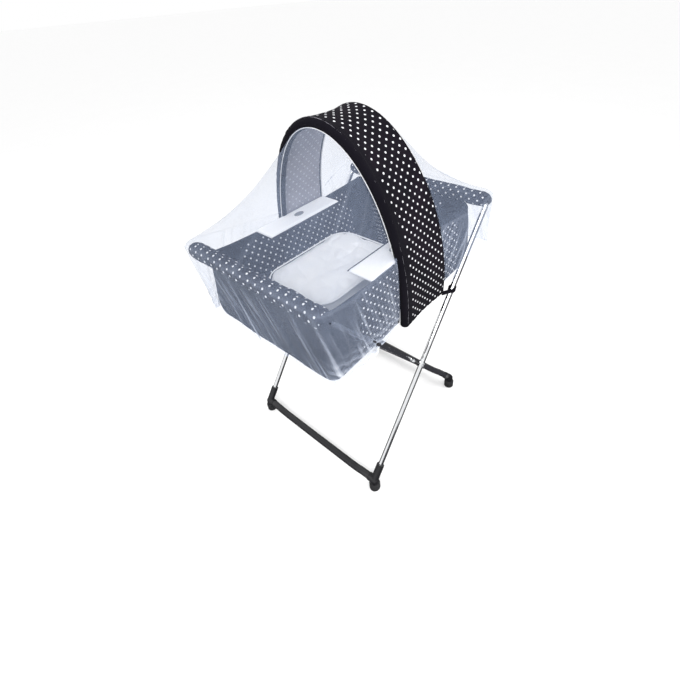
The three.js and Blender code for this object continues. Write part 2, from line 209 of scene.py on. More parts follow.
def tulle(name, open_alpha=0.15, thread_alpha=0.31, gathered=0.62):
    """Fine white mesh of slanted threads, which the cloth's gather attribute closes up in folds."""
    g = Graph(name)
    _, u, v = fabric_uv(g)
    lines = []
    for sign in (1.0, -1.0):
        slanted = g.math("ADD", u, g.math("MULTIPLY", v, sign))
        wave = g.math("ABSOLUTE", g.math("SINE", g.math("MULTIPLY", slanted, math.pi / TULLE_MESH)))
        lines.append(g.ramp(wave, 0.55, 0.0))
    threads = g.math("MAXIMUM", *lines)
    uneven = g.ramp(g.noise(7.0, 3.0), 0.3, 0.7, -0.03, 0.04)
    mesh = g.math("ADD", g.ramp(threads, 0.0, 1.0, open_alpha, thread_alpha), uneven)
    gather = g.node("ShaderNodeAttribute", attribute_name="gather").outputs["Fac"]
    alpha = g.math("ADD", mesh, g.math("MULTIPLY", gather, gathered), clamp=True)
    tone = g.colour(g.math("MULTIPLY", gather, 1.2, clamp=True), (0.34, 0.41, 0.57), (0.76, 0.80, 0.88))
    g.set(Base_Color=tone, Roughness=0.95, Alpha=alpha, Specular_IOR_Level=0.1, Sheen_Weight=0.15)
    g.bump(threads, 0.0001, 0.3)
    return g.material


def chrome():
    """Bright plate with a slight haze of fingermarks."""
    g = Graph("chrome_plate")
    haze = g.noise(60.0, 4.0)
    g.set(Base_Color=g.colour(haze, (0.80, 0.81, 0.83), (0.88, 0.89, 0.90)), Metallic=1.0)
    g.set(Roughness=g.ramp(haze, 0.35, 0.75, 0.05, 0.17))
    g.bump(g.noise(35.0, 2.0), 0.0002, 0.25)
    return g.material


def painted_black(name, roughness=(0.28, 0.5), grain=420.0, lift=0.03):
    """Black paint or moulded plastic, greyer and rougher where it is scuffed and along its edges."""
    g = Graph(name)
    scuffs = g.ramp(g.noise(32.0, 6.0), 0.56, 0.72)
    edges = g.ramp(g.node("ShaderNodeNewGeometry").outputs["Pointiness"], 0.52, 0.6)
    wear = g.math("MAXIMUM", g.math("MULTIPLY", scuffs, 0.5), g.math("MULTIPLY", edges, 0.8))
    g.set(Base_Color=g.colour(wear, (0.008, 0.008, 0.010), (lift, lift, lift * 1.1)))
    g.set(Roughness=g.ramp(g.noise(18.0, 4.0), 0.3, 0.7, *roughness), Specular_IOR_Level=0.45)
    g.bump(g.noise(grain, 3.0), 0.0002, 0.5)
    return g.material


def plated_steel():
    """Dull zinc, for the bolts and nuts."""
    g = Graph("zinc_steel")
    streaks = g.noise(160.0, 5.0)
    g.set(Base_Color=g.colour(streaks, (0.46, 0.47, 0.49), (0.64, 0.65, 0.67)), Metallic=1.0)
    g.set(Roughness=g.ramp(streaks, 0.3, 0.7, 0.25, 0.45))
    g.bump(streaks, 0.0002, 0.4)
    return g.material


def badge_metal():
    """Satin grey metal, for the flaps' blank badges."""
    g = Graph("badge_satin")
    grain = g.noise(300.0, 4.0)
    g.set(Base_Color=g.colour(grain, (0.22, 0.23, 0.23), (0.34, 0.35, 0.35)), Metallic=0.55)
    g.set(Roughness=g.ramp(grain, 0.3, 0.7, 0.32, 0.5))
    g.bump(grain, 0.0001, 0.4)
    return g.material


def hardboard():
    """Brown pressed fibre, for the board under the pad."""
    g = Graph("hardboard_brown")
    fibre = g.noise(120.0, 6.0)
    g.set(Base_Color=g.colour(fibre, (0.20, 0.12, 0.06), (0.34, 0.22, 0.12)), Roughness=0.8)
    g.bump(fibre, 0.0004, 0.6)
    return g.material


def floor_paper():
    """White paper, with a painted dark reflection: glossy rays see it near black, so that bright tubes get
    dark edges on it.
    """
    g = Graph("floor_paper")
    tone = g.colour(g.noise(3.0, 3.0), (0.96, 0.96, 0.96), (0.98, 0.98, 0.98))
    # Painted reflection: only for glossy rays is the floor's colour near black, which paints dark edges on
    # the bright tubes.
    glossy_ray_painted_dark = g.node("ShaderNodeLightPath").outputs["Is Glossy Ray"]
    g.set(Base_Color=g.colour(glossy_ray_painted_dark, tone, (0.03, 0.03, 0.035)), Roughness=0.9, Specular_IOR_Level=0.1)
    return g.material


INK = (0.0035, 0.003, 0.006)
DOTTED = cotton("dotted_black_cotton", INK, (0.008, 0.005, 0.010), True)
PLAIN = cotton("plain_black_cotton", INK, (0.006, 0.005, 0.009), False)
LILAC = (0.29, 0.285, 0.32)
HOOD_LINING = cotton("hood_lining_cotton", LILAC, (0.36, 0.35, 0.39), True, (0.62, 0.62, 0.67))
WHITE = white_cotton()
TULLE = tulle("white_tulle")
SEAM = cotton("white_tape", (0.78, 0.79, 0.82), (0.86, 0.87, 0.9), False)
CHROME = chrome()
BLACK = painted_black("satin_black")
RUBBER = painted_black("black_rubber", (0.6, 0.85), 700.0, 0.022)
STEEL = plated_steel()
BADGE = badge_metal()
BOARD = hardboard()


# Mesh helpers

def mesh_piece(name, points, faces, materials, uv=None, face_materials=None, gather=None):
    """A smooth mesh object. uv(face, corner) gives a corner's cloth coordinates."""
    mesh = bpy.data.meshes.new(name)
    mesh.from_pydata([tuple(p) for p in points], [], faces)
    for material in materials:
        mesh.materials.append(material)
    layer = mesh.uv_layers.new(name="cloth")
    if uv is not None:
        flat = [uv(number, corner) for number, face in enumerate(faces) for corner in range(len(face))]
        layer.data.foreach_set("uv", np.array(flat).astype(np.float32).ravel())
    if face_materials is not None:
        mesh.polygons.foreach_set("material_index", np.array(face_materials, np.int32))
    if gather is not None:
        attribute = mesh.attributes.new("gather", "FLOAT", "POINT")
        attribute.data.foreach_set("value", np.array(gather, np.float32))
    mesh.polygons.foreach_set("use_smooth", np.ones(len(faces), bool))
    mesh.update()
    made = bpy.data.objects.new(name, mesh)
    bpy.context.scene.collection.objects.link(made)
    return made


def grid_piece(name, rows, materials, uv=None, closed=False, pick=None, gather=None, caps=False):
    """A surface over rows of points. uv holds each point's cloth coordinates, and pick(row, column) chooses a
    face's material. closed joins each row's ends, and caps fills the first and the last row."""
    rows = np.asarray(rows, float)
    count, width = rows.shape[:2]
    if uv is None:
        along = np.zeros((count, width))
        across = np.zeros((count, width))
        along[:, 1:] = np.cumsum(np.linalg.norm(np.diff(rows, axis=1), axis=2), axis=1)
        across[1:] = np.cumsum(np.linalg.norm(np.diff(rows, axis=0), axis=2), axis=0)
        uv = np.stack([along, across], axis=2)
    faces, corners = [], []
    last = width if closed else width - 1
    for j in range(count - 1):
        here, above = j * width, (j + 1) * width
        for i in range(last):
            k = (i + 1) % width
            faces.append((here + i, here + k, above + k, above + i))
            right = uv[:, k] if k else uv[:, i] + (uv[:, i] - uv[:, i - 1])
            corners.append((uv[j, i], right[j], right[j + 1], uv[j + 1, i]))
    chosen = [pick(*divmod(f, last)) for f in range(len(faces))] if pick else None
    if caps:
        for ring in (range(width - 1, -1, -1), range((count - 1) * width, count * width)):
            faces.append(tuple(ring))
            corners.append([(0.0, 0.0)] * width)
            if chosen is not None:
                chosen.append(chosen[-1])
    flat = None if gather is None else np.asarray(gather).ravel()
    return mesh_piece(name, rows.reshape(-1, 3), faces, materials, lambda f, c: corners[f][c], chosen, flat)


def apply_modifiers(piece):
    """Replaces a piece's mesh by what its modifiers make of it."""
    graph = bpy.context.evaluated_depsgraph_get()
    graph.update()
    mesh = bpy.data.meshes.new_from_object(piece.evaluated_get(graph))
    piece.modifiers.clear()
    old = piece.data
    piece.data = mesh
    bpy.data.meshes.remove(old)
    piece.data.name = piece.name


def smooth_faces(piece):
    piece.data.polygons.foreach_set("use_smooth", np.ones(len(piece.data.polygons), bool))


def subdivide(piece, levels):
    modifier = piece.modifiers.new("fine", "SUBSURF")
    modifier.levels = levels
    apply_modifiers(piece)


def thicken(piece, thickness):
    """Gives a sheet its thickness, half on each side."""
    modifier = piece.modifiers.new("thickness", "SOLIDIFY")
    modifier.thickness = thickness
    modifier.offset = 0.0
    apply_modifiers(piece)
    smooth_faces(piece)


def wrinkle(point, scale, size, seed=0.0):
    """Smooth seeded noise from -size to size."""
    return size * noise.noise(Vector((point[0] * scale + seed, point[1] * scale, point[2] * scale)))


def run_along(points):
    """The distance along a line at each of its points."""
    return np.concatenate([[0], np.cumsum(np.linalg.norm(np.diff(points, axis=0), axis=1))])


def resample(points, count):
    """The same line with count evenly spaced points, and the distance along it at each."""
    points = np.asarray(points, float)
    run = run_along(points)
    at = np.linspace(0, run[-1], count)
    return np.stack([np.interp(at, run, points[:, k]) for k in range(points.shape[1])], axis=1), at


def tube(name, path, radius, material, sides=10, pucker=0.0, seed=0.0):
    """A round tube along a path; pucker varies its radius as a stuffed, gathered piping does."""
    path = np.asarray(path, float)
    forward = np.gradient(path, axis=0)
    forward /= np.linalg.norm(forward, axis=1)[:, None]
    run = run_along(path)
    side = np.cross(forward[0], (0.37, 0.21, 0.9))
    rows = []
    for k, (point, ahead) in enumerate(zip(path, forward)):
        side = side - ahead * side.dot(ahead)
        side /= np.linalg.norm(side)
        up = np.cross(ahead, side)
        r = radius * (1 + pucker * noise.noise(Vector((run[k] * 90, seed, 0))))
        angles = np.linspace(0, 2 * math.pi, sides, endpoint=False)
        rows.append([point + r * (math.cos(a) * side + math.sin(a) * up) for a in angles])
    turn = np.linspace(0, 2 * math.pi * radius, sides, endpoint=False)
    uv = np.stack(np.broadcast_arrays(turn[None, :], run[:, None]), axis=2)
    return grid_piece(name, rows, [material], uv, closed=True, caps=True)


# Soft pieces by cloth simulation

def inflate(piece, voxel, pressure, cap):
    """Remeshes a closed piece and lets it swell like stuffed cloth, moving no point further than cap."""
    remesh = piece.modifiers.new("remesh", "REMESH")
    remesh.mode = "VOXEL"
    remesh.voxel_size = voxel
    apply_modifiers(piece)
    swell(piece, pressure, cap)
    subdivide(piece, 1)
    smooth_faces(piece)


def swell(piece, pressure, cap):
    """Runs the cloth simulation on a piece and keeps its last step."""
    rest = positions(piece.data.vertices)
    cloth = piece.modifiers.new("cloth", "CLOTH")
    cloth.settings.quality = 4
    cloth.settings.mass = 0.3
    cloth.settings.tension_stiffness = 12
    cloth.settings.compression_stiffness = 12
    cloth.settings.bending_stiffness = 0.4
    cloth.settings.use_pressure = True
    cloth.settings.uniform_pressure_force = pressure
    cloth.settings.effector_weights.gravity = 0
    cloth.collision_settings.use_collision = False
    scene = bpy.context.scene
    for step in range(1, 21):
        scene.frame_set(step)
    evaluated = piece.evaluated_get(bpy.context.evaluated_depsgraph_get())
    moved = positions(evaluated.data.vertices) - rest
    reach = np.linalg.norm(moved, axis=1)[:, None]
    moved *= np.minimum(1, cap / np.maximum(reach, 1e-9))
    piece.modifiers.clear()
    piece.data.vertices.foreach_set("co", (rest + moved).ravel())
    scene.frame_set(1)


def positions(vertices):
    points = np.zeros(len(vertices) * 3)
    vertices.foreach_get("co", points)
    return points.reshape(-1, 3)


def plan_uv(piece):
    """Lays the cloth coordinates of a flat pad straight down from above."""
    mesh = piece.data
    layer = mesh.uv_layers.get("cloth") or mesh.uv_layers.new(name="cloth")
    corner_point = np.zeros(len(mesh.loops), np.int32)
    mesh.loops.foreach_get("vertex_index", corner_point)
    plan = positions(mesh.vertices)[corner_point][:, :2]
    layer.data.foreach_set("uv", plan.astype(np.float32).ravel())


def rounded_loop(half_x, half_y, radius, along=20, across=14, corner=7):
    """Points round a rectangle with round corners, the same count for every size, and each one's side."""
    points, sides = [], []
    corners = [(1, -1, -90), (1, 1, 0), (-1, 1, 90), (-1, -1, 180)]
    runs = [("right", along), ("back", across), ("left", along), ("front", across)]
    start = np.array([-(half_x - radius), -half_y])
    for (sx, sy, first), (side, steps) in zip(corners, runs):
        middle = np.array([sx * (half_x - radius), sy * (half_y - radius)])
        angle = math.radians(first)
        finish = middle + radius * np.array([math.cos(angle), math.sin(angle)])
        for k in range(steps):
            points.append(start + (finish - start) * k / steps)
            sides.append(side)
        for k in range(corner):
            angle = math.radians(first + 90 * k / corner)
            points.append(middle + radius * np.array([math.cos(angle), math.sin(angle)]))
            sides.append("corner")
        angle = math.radians(first + 90)
        start = middle + radius * np.array([math.cos(angle), math.sin(angle)])
    return np.array(points), sides


# The basket

SIDE_DIP = 0.012
CORNER_BULGE = 0.020
PLAIN_CORNER = (0.095, 0.085)  # how far the plain cloth at a corner reaches along X and Y


def clamp(value):
    return min(1.0, max(0.0, value))


def side_dip(x):
    """How far the sides' top edge hangs below the rails, where no tube holds it."""
    return SIDE_DIP * (1 - (x / SKIRT_X) ** 2)


def corner_bulge(x, y, height):
    """How far the front left corner sags outwards, low down, in front of the leg."""
    forward = clamp((-0.22 - x) / 0.06)
    low = math.sin(math.pi * clamp((height + 0.06) / 0.18))
    return CORNER_BULGE * forward * low if y > 0.1 else 0.0


def build_basket():
    """One sewn shell: underside, skirt, rolled top edge, lining sloping in to the floor."""
    top = SKIRT_HIGH.z + 0.011
    bottom = SKIRT_LOW.z
    held, slung = 0.0, 1.0
    # Each ring: inset from the skirt, corner radius, height, share of the sides' dip, zone
    profile = [
        (0.190, 0.020, bottom, held, "under"),
        (0.110, 0.030, bottom - 0.003, held, "under"),
        (0.030, 0.034, bottom - 0.004, held, "under"),
        (0.007, 0.026, bottom - 0.002, held, "skirt"),
        (-0.003, 0.024, bottom + 0.008, held, "skirt"),
        (-0.006, 0.022, bottom + 0.040, held, "skirt"),
        (-0.006, 0.022, bottom + 0.080, 0.2, "skirt"),
        (-0.005, 0.022, bottom + 0.120, 0.4, "skirt"),
        (-0.003, 0.024, bottom + 0.160, 0.7, "skirt"),
        (0.000, 0.026, top - 0.022, slung, "skirt"),
        (-0.001, 0.030, top - 0.008, slung, "edge"),
        (0.001, 0.029, top - 0.001, slung, "edge"),
        (0.006, 0.028, top + 0.001, slung, "edge"),
        (0.010, 0.027, top - 0.004, slung, "edge"),
        (0.012, 0.027, top - 0.014, slung, "lining"),
        (0.022, 0.030, top - 0.042, 0.8, "lining"),
        (0.034, 0.035, top - 0.074, 0.5, "lining"),
        (0.045, 0.042, top - 0.108, 0.3, "lining"),
        (0.056, 0.048, top - 0.140, 0.1, "lining"),
        (0.064, 0.052, FLOOR_Z + 0.002, held, "lining"),
        (0.100, 0.050, FLOOR_Z + 0.0015, held, "floor"),
        (0.190, 0.020, FLOOR_Z + 0.0015, held, "floor"),
    ]
    rows, coordinates = [], []
    runs = run_along([(ring[0], ring[2]) for ring in profile])
    for (inset, radius, z, dip, _), run in zip(profile, runs):
        loop, sides = rounded_loop(SKIRT_X - inset, SKIRT_Y - inset, radius)
        row, uv = [], []
        for (x, y), side in zip(loop, sides):
            height = z
            if side in ("left", "right"):
                height -= dip * side_dip(x)
            point = Vector((x, y, height))
            outward = Vector((x / SKIRT_X, y / SKIRT_Y, 0)).normalized()
            ruck = wrinkle(point, 9, 0.005) + wrinkle(point, 26, 0.0022, 5.0)
            point += outward * ruck * (0.35 if dip == slung else 1.0)
            if inset < 0.01:
                point.y += corner_bulge(x, y, z - bottom)
            row.append(point)
            uv.append((y if side in ("front", "back") else x, run))
        rows.append(row)
        coordinates.append(uv)
    zones = [ring[4] for ring in profile]

    def pick(j, i):
        side = sides[i]
        x, y = abs(rows[j][i][0]), abs(rows[j][i][1])
        gusset = (SKIRT_X - x) < PLAIN_CORNER[0] and (SKIRT_Y - y) < PLAIN_CORNER[1]
        if zones[j] in ("under", "edge", "floor") or side == "corner" or gusset:
            return 1
        return 1 if zones[j] == "skirt" and side in ("front", "back") else 0

    shell = grid_piece("basket_fabric", rows, [DOTTED, PLAIN], np.array(coordinates), closed=True, pick=pick,
                       caps=True)
    subdivide(shell, 2)
    panels = [f"{kind}_{side}" for kind in ("skirt", "lining") for side in ("front", "back", "left", "right")]
    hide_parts(*panels, "basket_underside", "lining_floor")
    cross_fold(shell)


def cross_fold(piece):
    """Bakes the piece's placement into its mesh."""
    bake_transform(piece)


ROLL_CAP = 0.034  # the length of a roll's round end
ROLL_SEAM = 0.012  # the plain gathered tip of that end
ROLL_SAG = 0.014
SAG_FROM = 0.14  # how far from the middle the front roll starts to sag


def build_roll(end, body, node):
    """The padded sleeve round a top rail, gathered at each end. The front one sags at its right end."""
    centre = RAIL[end]
    half = RAIL_REACH[end] + 0.003
    rows, coordinates = [], []
    around = 36
    stations = np.concatenate([
        -half + ROLL_CAP * (1 - np.cos(np.linspace(0, math.pi / 2, 9))),
        np.linspace(-half + ROLL_CAP + 0.008, half - ROLL_CAP - 0.008, 70),
        half - ROLL_CAP * (1 - np.cos(np.linspace(math.pi / 2, 0, 9))),
    ])
    for y in stations:
        into_cap = max(0.0, (abs(y) - (half - ROLL_CAP)) / ROLL_CAP)
        radius = SLEEVE_RADIUS * math.sqrt(max(0.02, 1 - into_cap ** 2))
        loose = max(0.0, (-y - SAG_FROM) / (half - SAG_FROM)) if end == FRONT else 0.0
        sag = ROLL_SAG * loose ** 2 * (1 - into_cap) ** 2
        row, uv = [], []
        for k in range(around):
            angle = 2 * math.pi * k / around
            direction = Vector((math.sin(angle), 0, math.cos(angle)))
            point = Vector((centre.x, y, centre.z)) + direction * radius
            point.z -= sag * (1 - direction.z) / 2
            ruck = wrinkle(point, 24, 0.0022, 3.0) + wrinkle(Vector((angle, y * 70, 0)), 1, 0.0006)
            row.append(point + direction * ruck * (1 - 0.5 * into_cap))
            uv.append((y, angle * SLEEVE_RADIUS))
        rows.append(row)
        coordinates.append(uv)

    def pick(j, i):
        return 1 if abs(stations[j]) > half - ROLL_SEAM else 0

    name = "front_roll" if end == FRONT else "back_roll"
    roll = grid_piece(name, rows, [DOTTED, PLAIN], np.array(coordinates), closed=True, pick=pick, caps=True)
    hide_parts(node)
    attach(roll, body)


# The bedding

def build_pad():
    """The white pad, with a thin welt round its top."""
    inset = Vector((0.004, 0.004, 0.004))
    pad = solid_pad("mattress", PAD_LOW + inset, PAD_HIGH - inset, radius=0.06, edge=0.014)
    inflate(pad, voxel=0.006, pressure=3.0, cap=0.004)
    crumple(pad, PAD_HIGH.z - 0.012, 0.005)
    plan_uv(pad)
    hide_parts("mattress_pad")
    middle = (PAD_LOW + PAD_HIGH) / 2
    half = (PAD_HIGH - PAD_LOW) / 2 - Vector((0.005, 0.005, 0.010))
    loop, _ = rounded_loop(half.x, half.y, 0.058)
    seam = [(middle.x + x, middle.y + y, middle.z + half.z) for x, y in [*loop, loop[0]]]
    welt = tube("mattress_welt", resample(seam, 240)[0], 0.0022, WHITE, 8, pucker=0.25, seed=2.0)
    for piece in (pad, welt):
        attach(piece, "mattress")
        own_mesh(piece)


def solid_pad(name, low, high, radius, edge):
    """A closed pad with round corners in plan and a rounded edge, ready to be inflated."""
    middle = (low + high) / 2
    half = (high - low) / 2
    rows = []
    for face in (-1, 1):
        angles = np.linspace(0, math.pi / 2, 5)
        for angle in angles[::face]:
            pull = edge * (1 - math.cos(angle))
            z = middle.z + face * (half.z - edge * (1 - math.sin(angle)))
            loop, _ = rounded_loop(half.x - pull, half.y - pull, radius - pull)
            rows.append([Vector((middle.x + x, middle.y + y, z)) for x, y in loop])
    return grid_piece(name, rows, [WHITE], closed=True, caps=True)


def crumple(piece, above, size):
    """Adds long soft folds, size deep, to what lies above a height."""
    for vertex in piece.data.vertices:
        if vertex.co.z > above:
            fold = abs(noise.noise(Vector((vertex.co.x * 7, vertex.co.y * 16, 4.0))))
            fold += 0.5 * abs(noise.noise(Vector((vertex.co.x * 23, vertex.co.y * 11, 9.0))))
            vertex.co.z -= size * (1 - min(1, 2.2 * fold)) - size / 2


def build_flap(side):
    """A thin white flap with a dark bound edge and its badge."""
    name = "left" if side == LEFT else "right"
    low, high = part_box(f"{name}_flap")
    inset = Vector((0.001, 0.001, 0.001))
    flap = solid_pad(f"{name}_flap_cushion", low + inset, high - inset, radius=0.006, edge=0.0035)
    inflate(flap, voxel=0.004, pressure=2.0, cap=0.0015)
    plan_uv(flap)
    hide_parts(f"{name}_flap")
    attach(flap, f"{name}_flap")
    fold_flap(flap)
    inner_y = low.y if side == LEFT else high.y
    edge = [(x, inner_y, (low.z + high.z) / 2) for x in np.linspace(low.x + 0.004, high.x - 0.004, 60)]
    edging = tube(f"{name}_flap_edging", edge, 0.0016, PLAIN, 8, pucker=0.2, seed=side)
    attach(edging, f"{name}_flap")
    fold_flap(edging)
    build_badge(name)


def build_badge(name):
    """A blank oval plate with a raised rim and a low crown."""
    badge_low, badge_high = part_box(f"{name}_badge")
    middle = (badge_low + badge_high) / 2
    half = (badge_high - badge_low) / 2
    # Each ring: its share of the oval's size, and its height as a share of half the thickness
    rim = [(1.0, -1.0), (1.0, 0.2), (0.95, 0.9), (0.86, 1.0)]
    face = [(0.8, 0.35), (0.74, 0.1), (0.4, 0.3), (0.05, 0.4)]
    angles = np.linspace(0, 2 * math.pi, 48, endpoint=False)
    rows = []
    for share, height in rim + face:
        wide, deep = half.x * share, half.y * share
        z = middle.z + half.z * height
        rows.append([(middle.x + wide * math.cos(a), middle.y + deep * math.sin(a), z) for a in angles])
    badge = grid_piece(f"{name}_oval_badge", rows, [BADGE], closed=True, caps=True)
    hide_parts(f"{name}_badge")
    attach(badge, f"{name}_flap")
    fold_flap(badge)


def fold_flap(piece):
    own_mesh(piece)


# The hood

FRONT_INSET = 0.025  # from the band's box to its front edge, at the foot
LEAN = {FRONT: 0.025, BACK: 0.063}  # how far each edge has moved forward at the top
PIPING_RADIUS = {FRONT: 0.0125, BACK: 0.0045}


def arch_height(z):
    """A height as a share of the arch's rise."""
    return clamp((z - SPRING) / (BAND_HIGH.z - SPRING))


def arch(outset=0.0, count=161):
    """The hood's outline in YZ from the right foot over the top to the left foot, evenly spaced."""
    half = BAND_HIGH.y + outset
    rise = BAND_HIGH.z + outset - SPRING
    points = [(-half, BAND_LOW.z)]
    for angle in np.linspace(0, math.pi, 200):
        points.append((-half * math.cos(angle), SPRING + rise * math.sin(angle)))
    points.append((half, BAND_LOW.z))
    return resample(points, count)


def hood_edge(z, face):
    """X of the band's front or back edge. Both lean forward, the back one further."""
    if face == FRONT:
        return BAND_LOW.x + FRONT_INSET - LEAN[FRONT] * arch_height(z) ** 2
    return BAND_HIGH.x - LEAN[BACK] * arch_height(z) ** 1.4


def build_band():
    """The dotted band, sewn double round two hoops: it sinks a little between them, and its inner layer is a
    paler lining. A plain strip runs along its front edge."""
    line, run = arch()
    across = 26
    plain_strip = 2
    outer = [(s, -0.0045 * math.sin(math.pi * s) ** 0.8) for s in np.linspace(0, 1, across)]
    inner = [(s, -0.0075 - 0.0035 * math.sin(math.pi * s)) for s in np.linspace(1, 0, across)]
    section = outer + inner
    rows, coordinates = [], []
    forward = np.gradient(line, axis=0)
    near_top = 0.05
    for (y, z), (dy, dz), length in zip(line, forward, run):
        normal = Vector((0, -dz, dy)).normalized()
        inwards = normal.z < 0 if abs(y) <= near_top else normal.y * y < 0
        if inwards:
            normal = -normal
        row, uv = [], []
        front, back = hood_edge(z, FRONT), hood_edge(z, BACK)
        for k, (share, depth) in enumerate(section):
            x = front + (back - front) * share
            point = Vector((x, y, z))
            slack = math.sin(math.pi * share)
            ruck = slack * (wrinkle(point, 14, 0.0035, 2.0) + wrinkle(point, 45, 0.0012, 8.0))
            row.append(point + normal * (depth + ruck))
            uv.append((length, x if k < across else 0.4 - x))
        rows.append(row)
        coordinates.append(uv)

    def pick(j, i):
        if i >= across - 1:
            return 1
        return 2 if i <= plain_strip else 0

    band = grid_piece("hood_band", rows, [DOTTED, HOOD_LINING, PLAIN], np.array(coordinates), closed=True,
                      pick=pick, caps=True)
    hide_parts("canopy_band", "canopy_hoop_front", "canopy_hoop_back")
    on_hood(band)
    build_piping(FRONT, "front")
    build_piping(BACK, "back")


def build_piping(face, label):
    """The stuffed piping along an edge of the band, and the white tape that a net is sewn to."""
    radius = PIPING_RADIUS[face]
    path = [(hood_edge(z, face) - face * 0.002, y, z) for y, z in arch(-radius)[0]]
    piping = tube(f"{label}_piping", path, radius, PLAIN, 16, pucker=0.12, seed=face * 3.0)
    on_hood(piping)
    path = [(hood_edge(z, face) + face * 0.7 * radius, y, z) for y, z in arch(-1.75 * radius)[0]]
    tape = tube(f"{label}_net_tape", path, 0.0011, SEAM, 8, pucker=0.3, seed=face * 5.0)
    on_hood(tape)


def on_hood(piece):
    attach(piece, "canopy")
    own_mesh(piece)


LEG_RADIUS = 0.008
STRAP_LOOP = 0.0112  # the radius of the strap's loop round a leg
STRAP_WIDTH = 0.012


def build_strap(side):
    """A short webbing loop that ties the band's back corner to the outer leg."""
    name = "left" if side == LEFT else "right"
    low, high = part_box(f"leg_strap_{name}")
    height = (low.z + high.z) / 2
    leg_x = (height - PIVOT_Z) * RAIL[BACK].x / (RAIL[BACK].z - PIVOT_Z)
    leg_y = side * (RAIL_REACH[BACK] - LEG_RADIUS)
    loop = []
    for k in range(25):
        angle = math.pi * (0.5 + 2 * k / 24)
        along = STRAP_LOOP * math.cos(angle) * 1.15
        loop.append((leg_x + along, leg_y + side * STRAP_LOOP * math.sin(angle)))
    sewn_x, sewn_y = low.x + 0.004, abs(low.y)
    path = [(sewn_x, side * sewn_y), *loop, (sewn_x, side * (sewn_y + 0.002))]
    rows = []
    for x, y in resample(path, 60)[0]:
        rows.append([(x + 0.002 * s, y, height + STRAP_WIDTH / 2 * s) for s in (-1, -0.5, 0, 0.5, 1)])
    strap = grid_piece(f"strap_{name}", rows, [PLAIN])
    thicken(strap, 0.0012)
    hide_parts(f"leg_strap_{name}")
    on_hood(strap)


# The nets

NET_SIDE_TOP = 0.775  # the height where a net leaves the band for the rail
NET_INSET = {FRONT: 0.0205, BACK: 0.0045}  # from the band's outside in to the net's sewn edge
NET_AHEAD = {FRONT: 0.0115, BACK: 0.0075}  # and along X from the band's edge
NET_TUCK = {LEFT: 0.028, RIGHT: 0.013}  # how far clear of the skirt the front net hangs below a leg
NET_CORNER = 0.036
NET_GAP = 0.004  # between a net and the legs or rolls it hangs over
TENT_SAG = 0.045
HEM_FRONT = 0.024  # above the basket's bottom
HEM_BACK = 0.585


def arch_half(z):
    """Half the hood's width at a height."""
    return BAND_HIGH.y * math.sqrt(1 - arch_height(z) ** 2)


def net_rim(face):
    """The line a net bends over: from the band along one side, round the rail's corners, and back."""
    end_x = RAIL[face].x + face * (SLEEVE_RADIUS + NET_GAP)
    half = RAIL_REACH[face] + NET_GAP
    top = RAIL[face].z + SLEEVE_RADIUS + 0.002
    side = arch_half(NET_SIDE_TOP) - 0.4 * NET_INSET[face]
    start = (hood_edge(NET_SIDE_TOP, face) + face * NET_AHEAD[face], -side, NET_SIDE_TOP)
    near = RAIL[face].x - face * 0.06
    points = [start, (near, -half, top - 0.012)]
    inner_x = end_x - face * NET_CORNER
    inner_y = half - NET_CORNER
    for side_sign in (-1, 1):
        for turned in np.linspace(0, math.pi / 2, 7):
            angle = turned if side_sign < 0 else math.pi / 2 - turned
            x = inner_x + face * NET_CORNER * math.sin(angle)
            points.append((x, side_sign * (inner_y + NET_CORNER * math.cos(angle)), top - 0.002))
    points.append((near, half, top - 0.012))
    points.append((start[0], -start[1], start[2]))
    return points


def hem_height(face, x, y):
    """How low a net hangs: under the basket's edge in front, and part way down the legs behind."""
    at_band = hood_edge(0.6, face)
    away = min(1.0, abs(x - at_band) / abs(RAIL[face].x - at_band))
    on_side = abs(y) > RAIL_REACH[face] - 0.03
    if face == FRONT:
        lift = 0.016 * (1 - away) if on_side else 0.0
        return SKIRT_LOW.z + HEM_FRONT + lift + 0.003 * math.sin(40 * y + 9 * x)
    return HEM_BACK + 0.05 * away + 0.006 * math.sin(60 * x + 21 * y)


def leg_clearance(face, x, y, z):
    """Half the net's width where it hangs over a leg, and further in below the leg."""
    wide = RAIL_REACH[face] + NET_GAP
    if face == BACK:
        return wide
    slope = (RAIL[face].z - PIVOT_Z) / abs(RAIL[face].x)
    below = RAIL[face].z - abs(x - RAIL[face].x) * slope - z
    share = clamp((below - 0.025) / 0.11)
    return wide - (wide - SKIRT_Y - NET_TUCK[LEFT if y > 0 else RIGHT]) * share


